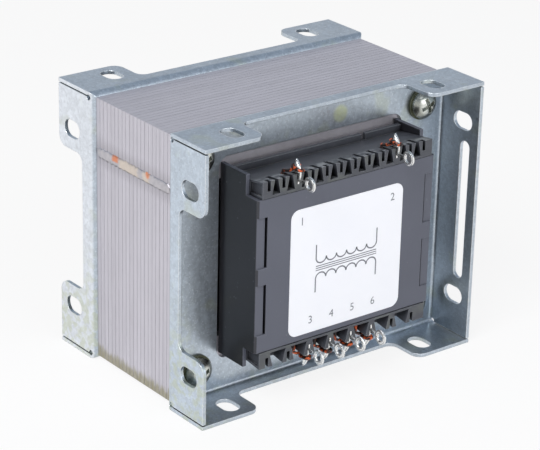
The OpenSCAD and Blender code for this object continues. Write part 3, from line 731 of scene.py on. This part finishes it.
def ring_loops(centre, radius, rows, count):
    """Rows of points round an eyelet's rim, lumpy and a little thicker than the tag."""
    half_width, half_height = 0.6, 0.5
    points = []
    for i in range(rows):
        turn = 2 * math.pi * i / rows
        outward = Vector((math.cos(turn), 0, math.sin(turn)))
        for k in range(count):
            a = 2 * math.pi * k / count
            size = 0.86 + 0.14 * lump(centre + outward * radius, 0.8)
            in_plane = half_width * size * math.cos(a)
            off_plane = half_height * size * math.sin(a)
            points.append(centre + outward * (radius + in_plane * MM) + Vector((0, off_plane, 0)) * MM)
    return points


def solder_piece(node, material):
    """Solder round a tag's prong, over its lead, and round the rim of its eyelet."""
    tag_low, tag_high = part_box(node)
    upper = node.startswith("upper")
    centre_y = (tag_low.y + tag_high.y) / 2
    tip_z, foot_z = (tag_high.z, BOBBIN_HIGH.z) if upper else (tag_low.z, BOBBIN_LOW.z)
    inward = PRONG_INSET if upper else -PRONG_INSET
    foot_x = BOBBIN_HIGH.x - (UPPER_PRONG_BACK if upper else LOWER_PRONG_BACK)
    lean = math.tan(PRONG_LEAN) * abs(tip_z - foot_z)
    base = Vector((foot_x, centre_y, foot_z + inward))
    tip = Vector((foot_x - lean, centre_y, tip_z - inward))
    rows, count = 18, 28
    points = prong_loops(base, tip, rows, count)
    faces = grid_faces(rows, count, True)
    if not upper:
        faces = [tuple(reversed(f)) for f in faces]
    last = (rows - 1) * count
    cap = list(range(last, last + count))
    faces.append(tuple(cap if upper else reversed(cap)))
    eyelet_x = tag_high.x - EYELET_RADIUS
    eyelet_z = tag_low.z + EYELET_RADIUS if upper else tag_high.z - EYELET_RADIUS
    around, section = 48, 14
    faces += ring_faces(around, section, len(points))
    points += ring_loops(Vector((eyelet_x, centre_y, eyelet_z)), EYELET_RIM_RADIUS, around, section)
    return make_piece(f"{node}_solder", points, faces, material)


# ---- label marks ----


def bar(points, faces, y0, z0, y1, z1, width):
    """A flat stroke on the label from (y0, z0) to (y1, z1)."""
    along = Vector((y1 - y0, z1 - z0)).normalized() * width / 2
    side = Vector((-along.y, along.x))
    x = LABEL_HIGH.x + INK_LIFT
    start = len(points)
    for y, z, end in ((y0, z0, -1), (y1, z1, 1)):
        for s in (-end, end):
            points.append((x, y + side.x * s, z + side.y * s))
    faces.append((start, start + 1, start + 2, start + 3))


def number_piece(text, y, z, height, material):
    """A printed terminal number, centred on (y, z) and facing +X."""
    curve = bpy.data.curves.new(f"number_{text}", "FONT")
    curve.body = text
    curve.size = height * 1.4
    curve.align_x = "CENTER"
    curve.align_y = "CENTER"
    shape = bpy.data.objects.new(f"number_{text}_shape", curve)
    mesh = bpy.data.meshes.new_from_object(shape)
    x = LABEL_HIGH.x + INK_LIFT
    points = [(x, y + v.co.x, z + v.co.y) for v in mesh.vertices]
    faces = [tuple(p.vertices) for p in mesh.polygons]
    bpy.data.objects.remove(shape)
    return make_piece(f"terminal_number_{text}", points, faces, material, smooth=False)


def winding_marks(material):
    """Two plain winding symbols with the core's lines between them."""
    points, faces = [], []
    y_mid = (LABEL_LOW.y + LABEL_HIGH.y) / 2
    z_mid = (LABEL_LOW.z + LABEL_HIGH.z) / 2
    half_length, loops, width = 12.0 * MM, 6, 0.45 * MM
    row_offset, tail, core_gap, core_width = 3.4 * MM, 4.5 * MM, 0.7, 0.3 * MM
    radius = half_length / loops
    for row in (-1, 1):
        z = z_mid + row * row_offset
        for i in range(loops):
            centre = y_mid - half_length + (2 * i + 1) * radius
            arc = [math.pi * k / 8 for k in range(9)]
            for a, b in zip(arc, arc[1:]):
                bar(points, faces, centre + radius * math.cos(a), z - row * radius * math.sin(a) * 0.9,
                    centre + radius * math.cos(b), z - row * radius * math.sin(b) * 0.9, width)
        for end in (-1, 1):
            y = y_mid + end * half_length
            bar(points, faces, y, z, y, z + row * tail, width)
    for offset in (-core_gap, 0.0, core_gap):
        z = z_mid + offset * MM
        bar(points, faces, y_mid - half_length, z, y_mid + half_length, z, core_width)
    return make_piece("winding_marks", points, faces, material, smooth=False)


def label_marks(material):
    """Terminal numbers beside the tags that they name, and the winding symbols."""
    winding_marks(material)
    height, inset = 2.6 * MM, 4.2 * MM
    rows = (
        ("upper_tag", 2, LABEL_HIGH.z - inset),
        ("lower_tag", 4, LABEL_LOW.z + inset),
    )
    number = 1
    for stem, count, z in rows:
        for i in range(1, count + 1):
            low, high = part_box(f"{stem}_{i}")
            y = max(min((low.y + high.y) / 2, LABEL_HIGH.y - inset), LABEL_LOW.y + inset)
            number_piece(str(number), y, z, height, material)
            number += 1


# ---- studio ----


def make_floor(material):
    """A wide round floor under the part, which isn't part of the object."""
    radius, sides = 2.5, 64
    turns = [2 * math.pi * k / sides for k in range(sides)]
    rim = [(radius * math.cos(a), radius * math.sin(a), 0.0) for a in turns]
    mesh = bpy.data.meshes.new("floor")
    mesh.from_pydata(rim, [], [tuple(range(sides))])
    mesh.materials.append(material)
    floor = bpy.data.objects.new("floor", mesh)
    floor.location.z = -0.02 * MM
    bpy.context.scene.collection.objects.link(floor)


def area_lamp(name, place, size, power):
    """A soft square lamp that faces the middle of the part."""
    lamp = bpy.data.lights.new(name, "AREA")
    lamp.size = size
    lamp.energy = power
    holder = bpy.data.objects.new(name, lamp)
    target = (CAD_BOX[0] + CAD_BOX[1]) / 2
    holder.location = place
    holder.rotation_mode = "QUATERNION"
    holder.rotation_quaternion = (target - Vector(place)).to_track_quat("-Z", "Y")
    bpy.context.scene.collection.objects.link(holder)


def make_world():
    """Pale daylight: white for the eye, and greyer overhead where metal mirrors it."""
    world = bpy.data.worlds.new("studio")
    world.use_nodes = True
    tree = world.node_tree
    tree.nodes.clear()

    def add(kind, **settings):
        node = tree.nodes.new(kind)
        for key, value in settings.items():
            setattr(node, key, value)
        return node

    ray = add("ShaderNodeLightPath")
    height = add("ShaderNodeSeparateXYZ")
    tree.links.new(add("ShaderNodeTexCoord").outputs["Generated"], height.inputs[0])
    overhead = add("ShaderNodeMapRange", interpolation_type="SMOOTHSTEP")
    tree.links.new(height.outputs["Z"], overhead.inputs["Value"])
    overhead.inputs["From Min"].default_value = 0.08
    overhead.inputs["From Max"].default_value = 0.5
    mirrored = add("ShaderNodeMix", data_type="RGBA")
    tree.links.new(overhead.outputs["Result"], mirrored.inputs["Factor"])
    mirrored.inputs[6].default_value = (1, 1, 1, 1)
    mirrored.inputs[7].default_value = (0.36, 0.42, 0.5, 1)
    glossy = add("ShaderNodeMath", operation="MAXIMUM")
    tree.links.new(ray.outputs["Is Glossy Ray"], glossy.inputs[0])
    tree.links.new(ray.outputs["Is Transmission Ray"], glossy.inputs[1])
    lit = add("ShaderNodeMix", data_type="RGBA")
    tree.links.new(glossy.outputs[0], lit.inputs["Factor"])
    lit.inputs[6].default_value = (0.34, 0.34, 0.35, 1)
    tree.links.new(mirrored.outputs[2], lit.inputs[7])
    seen = add("ShaderNodeMix", data_type="RGBA")
    tree.links.new(ray.outputs["Is Camera Ray"], seen.inputs["Factor"])
    tree.links.new(lit.outputs[2], seen.inputs[6])
    seen.inputs[7].default_value = (1, 1, 1, 1)
    sky = add("ShaderNodeBackground")
    tree.links.new(seen.outputs[2], sky.inputs["Color"])
    output = add("ShaderNodeOutputWorld")
    tree.links.new(sky.outputs[0], output.inputs["Surface"])
    bpy.context.scene.world = world


def make_camera():
    """The photograph's view: from the front left, a little above."""
    camera = bpy.data.cameras.new("camera")
    camera.lens = CAMERA_LENS
    camera.sensor_width = 36.0
    camera.clip_start, camera.clip_end = 0.05, 20
    holder = bpy.data.objects.new("camera", camera)
    back = CAMERA_BACK.normalized()
    right = CAMERA_UP.normalized().cross(back).normalized()
    turn = Matrix((right, back.cross(right), back)).transposed()
    holder.matrix_world = Matrix.Translation(CAMERA_PLACE) @ turn.to_4x4()
    bpy.context.scene.collection.objects.link(holder)
    bpy.context.scene.camera = holder


# ---- putting it together ----


def dress(materials):
    """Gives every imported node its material."""
    kinds = {
        "core_steel": ["e_core", "i_core"],
        "zinc_front": ["front_frame"],
        "zinc_rear": ["rear_frame"],
        "bobbin_plastic": ["bobbin"],
        "cover_plastic": ["front_cover", "rear_cover"],
        "winding_wire": ["primary_winding", "secondary_winding"],
        "insulation_film": ["winding_insulation"],
        "wrap_tape": ["outer_wrap"],
        "label_paper": ["label"],
        "plated_screw": ["clamp_screws", "clamp_nuts"],
        "dark_washer": ["front_washers", "rear_washers"],
        "tinned_tag": [n for n in NODES if "_tag_" in n],
        "enamelled_lead": [n for n in NODES if "_lead_" in n],
        "weld_bead": ["left_weld", "right_weld"],
    }
    for kind, names in kinds.items():
        for name in names:
            mesh = NODES[name].data
            mesh.materials.clear()
            mesh.materials.append(materials[kind])


def make_materials():
    """One material of each kind, by name."""
    made = {
        # both frames share one tone; each outer left face is painted lighter as a lamp's reflection, the
        # rear one much lighter
        "zinc_front": zinc_sheet("zinc_front", (186, 196, 206), (196, 207, 219)),
        "zinc_rear": zinc_sheet("zinc_rear", (186, 196, 206), (226, 231, 238)),
    }
    plain = (
        core_steel, weld_bead, bobbin_plastic, cover_plastic, winding_wire, insulation_film,
        wrap_tape, label_paper, printed_ink, plated_screw, dark_washer, tinned_tag, solder,
        enamelled_lead, floor_paint,
    )
    for maker in plain:
        made[maker.__name__] = maker()
    return made


def main():
    """Makes the studio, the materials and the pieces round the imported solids."""
    bpy.context.scene.view_settings.view_transform = "Standard"
    make_camera()
    make_world()
    area_lamp("key", (0.35, -0.75, 0.85), size=0.6, power=8.6)
    area_lamp("fill", (1.0, 0.1, 0.5), size=0.7, power=3.6)
    materials = make_materials()
    make_floor(materials["floor_paint"])
    dress(materials)
    for side in (-1, 1):
        weld_piece(side, materials["weld_bead"])
    nut_piece(materials["plated_screw"])
    thread_piece(materials["plated_screw"])
    for name in sorted(NODES):
        if "_tag_" in name:
            solder_piece(name, materials["solder"])
    label_marks(materials["printed_ink"])


main()
